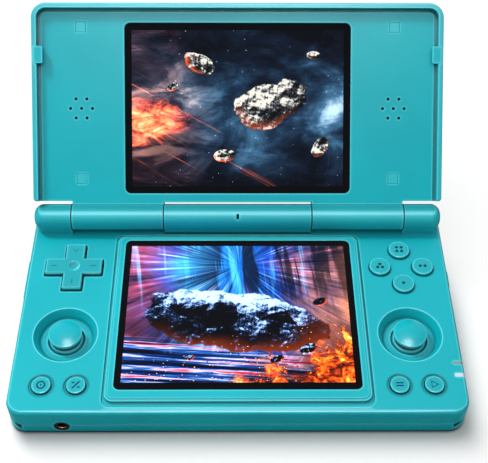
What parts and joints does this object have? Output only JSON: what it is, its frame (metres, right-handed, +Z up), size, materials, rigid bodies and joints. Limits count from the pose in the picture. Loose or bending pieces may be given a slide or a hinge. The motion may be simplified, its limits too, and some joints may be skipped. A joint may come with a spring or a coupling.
{
  "type": "clamshell handheld game console",
  "caption": "Open clamshell handheld console with a screen in each half, a cross pad, thumb sticks, round buttons and a barrel hinge.",
  "frame": {"origin": "centre of the base's underside, level with the surface it lies on", "axes": "+X to the right of the player, +Y from the player to the hinge, +Z up out of the deck"},
  "size_m": [0.1602, 0.1444, 0.0783],
  "materials": {
    "shell": "smooth turquoise with a pearl sheen",
    "cover_glass": "black-backed clear cover",
    "panel": "picture panel",
    "steel": "bright",
    "rubber": "matte",
    "board": "green board",
    "ribbon": "amber film",
    "cell": "wrapped cell",
    "dark_plastic": "black",
    "light_guide": "milky"
  },
  "bodies": {
    "base": {"upper_shell": "shell", "lower_shell": "shell", "hinge_cap_left": "shell", "hinge_cap_right": "shell", "hinge_centre": "shell", "hinge_pin_left": "steel", "hinge_pin_right": "steel", "ribbon_roll": "ribbon", "microphone": "steel", "lower_glass": "cover_glass", "lower_lcd": "panel", "main_board": "board", "battery": "cell", "cross_rubber": "rubber", "face_rubber": "rubber", "small_rubber_left": "rubber", "small_rubber_right": "rubber", "stick_housing_left": "dark_plastic", "stick_housing_right": "dark_plastic", "shoulder_switches_left": "board", "shoulder_switches_right": "board", "headphone_socket": "dark_plastic", "charging_socket": "steel", "card_socket": "steel", "light_bar_back": "light_guide", "light_bar_front": "light_guide", "rubber_feet": "rubber", "case_screws": "steel"},
    "lid": {"lid_back": "shell", "lid_panel": "shell", "upper_glass": "cover_glass", "upper_lcd": "panel", "speaker_left": "dark_plastic", "speaker_right": "dark_plastic", "lid_plugs": "shell", "lid_stops": "shell", "lid_screws": "steel"},
    "cross_ball": {"cross_ball": "steel"},
    "cross_pad": {"cross_pad": "shell"},
    "face_button_back": {"face_button_back": "shell"},
    "face_button_left": {"face_button_left": "shell"},
    "face_button_right": {"face_button_right": "shell"},
    "face_button_front": {"face_button_front": "shell"},
    "small_button_1": {"small_button_1": "shell"},
    "small_button_2": {"small_button_2": "shell"},
    "small_button_3": {"small_button_3": "shell"},
    "small_button_4": {"small_button_4": "shell"},
    "shoulder_outer_left": {"shoulder_outer_left": "shell"},
    "shoulder_inner_left": {"shoulder_inner_left": "shell"},
    "shoulder_outer_right": {"shoulder_outer_right": "shell"},
    "shoulder_inner_right": {"shoulder_inner_right": "shell"},
    "volume_rocker": {"volume_rocker": "shell"},
    "power_button": {"power_button": "shell"},
    "stick_carriage_left": {"stick_carriage_left": "dark_plastic"},
    "stick_yoke_left": {"stick_yoke_left": "steel"},
    "stick_left": {"stick_left": "shell"},
    "stick_carriage_right": {"stick_carriage_right": "dark_plastic"},
    "stick_yoke_right": {"stick_yoke_right": "steel"},
    "stick_right": {"stick_right": "shell"}
  },
  "joints": [
    {"name": "lid_hinge", "type": "hinge", "parent": "base", "child": "lid", "pos_m": [0, 0.0394, 0.0181], "axis": [1, 0, 0], "range_deg": [-24, 135.8]},
    {"name": "cross_tilt_front_back", "type": "hinge", "parent": "base", "child": "cross_ball", "pos_m": [-0.062, 0.0181, 0.0087], "axis": [1, 0, 0], "range_deg": [-3.5, 3.5], "stiffness_Nm_per_rad": 0.12},
    {"name": "cross_tilt_sideways", "type": "hinge", "parent": "cross_ball", "child": "cross_pad", "pos_m": [-0.062, 0.0181, 0.0087], "axis": [0, 1, 0], "range_deg": [-3.5, 3.5], "stiffness_Nm_per_rad": 0.12},
    {"name": "face_button_back_press", "type": "slide", "parent": "base", "child": "face_button_back", "axis": [0, 0, -1], "range_m": [0, 0.001], "stiffness_N_per_m": 800},
    {"name": "face_button_left_press", "type": "slide", "parent": "base", "child": "face_button_left", "axis": [0, 0, -1], "range_m": [0, 0.001], "stiffness_N_per_m": 800},
    {"name": "face_button_right_press", "type": "slide", "parent": "base", "child": "face_button_right", "axis": [0, 0, -1], "range_m": [0, 0.001], "stiffness_N_per_m": 800},
    {"name": "face_button_front_press", "type": "slide", "parent": "base", "child": "face_button_front", "axis": [0, 0, -1], "range_m": [0, 0.001], "stiffness_N_per_m": 800},
    {"name": "small_button_1_press", "type": "slide", "parent": "base", "child": "small_button_1", "axis": [0, 0, -1], "range_m": [0, 0.001], "stiffness_N_per_m": 800},
    {"name": "small_button_2_press", "type": "slide", "parent": "base", "child": "small_button_2", "axis": [0, 0, -1], "range_m": [0, 0.001], "stiffness_N_per_m": 800},
    {"name": "small_button_3_press", "type": "slide", "parent": "base", "child": "small_button_3", "axis": [0, 0, -1], "range_m": [0, 0.001], "stiffness_N_per_m": 800},
    {"name": "small_button_4_press", "type": "slide", "parent": "base", "child": "small_button_4", "axis": [0, 0, -1], "range_m": [0, 0.001], "stiffness_N_per_m": 800},
    {"name": "shoulder_outer_left_press", "type": "slide", "parent": "base", "child": "shoulder_outer_left", "axis": [0, -1, 0], "range_m": [0, 0.001], "stiffness_N_per_m": 1000},
    {"name": "shoulder_inner_left_press", "type": "slide", "parent": "base", "child": "shoulder_inner_left", "axis": [0, -1, 0], "range_m": [0, 0.001], "stiffness_N_per_m": 1000},
    {"name": "shoulder_outer_right_press", "type": "slide", "parent": "base", "child": "shoulder_outer_right", "axis": [0, -1, 0], "range_m": [0, 0.001], "stiffness_N_per_m": 1000},
    {"name": "shoulder_inner_right_press", "type": "slide", "parent": "base", "child": "shoulder_inner_right", "axis": [0, -1, 0], "range_m": [0, 0.001], "stiffness_N_per_m": 1000},
    {"name": "volume_rock", "type": "hinge", "parent": "base", "child": "volume_rocker", "pos_m": [-0.0757, 0.015, 0.009], "axis": [0, 0, 1], "range_deg": [-2, 2], "stiffness_Nm_per_rad": 0.4},
    {"name": "power_press", "type": "slide", "parent": "base", "child": "power_button", "axis": [-1, 0, 0], "range_m": [0, 0.0005], "stiffness_N_per_m": 3000},
    {"name": "stick_left_click", "type": "slide", "parent": "base", "child": "stick_carriage_left", "axis": [0, 0, -1], "range_m": [0, 0.0004], "stiffness_N_per_m": 4000},
    {"name": "stick_left_front_back", "type": "hinge", "parent": "stick_carriage_left", "child": "stick_yoke_left", "pos_m": [-0.062, -0.0122, 0.006], "axis": [1, 0, 0], "range_deg": [-15, 15], "stiffness_Nm_per_rad": 0.02},
    {"name": "stick_left_sideways", "type": "hinge", "parent": "stick_yoke_left", "child": "stick_left", "pos_m": [-0.062, -0.0122, 0.006], "axis": [0, 1, 0], "range_deg": [-15, 15], "stiffness_Nm_per_rad": 0.02},
    {"name": "stick_right_click", "type": "slide", "parent": "base", "child": "stick_carriage_right", "axis": [0, 0, -1], "range_m": [0, 0.0004], "stiffness_N_per_m": 4000},
    {"name": "stick_right_front_back", "type": "hinge", "parent": "stick_carriage_right", "child": "stick_yoke_right", "pos_m": [0.062, -0.0122, 0.006], "axis": [1, 0, 0], "range_deg": [-15, 15], "stiffness_Nm_per_rad": 0.02},
    {"name": "stick_right_sideways", "type": "hinge", "parent": "stick_yoke_right", "child": "stick_right", "pos_m": [0.062, -0.0122, 0.006], "axis": [0, 1, 0], "range_deg": [-15, 15], "stiffness_Nm_per_rad": 0.02}
  ]
}
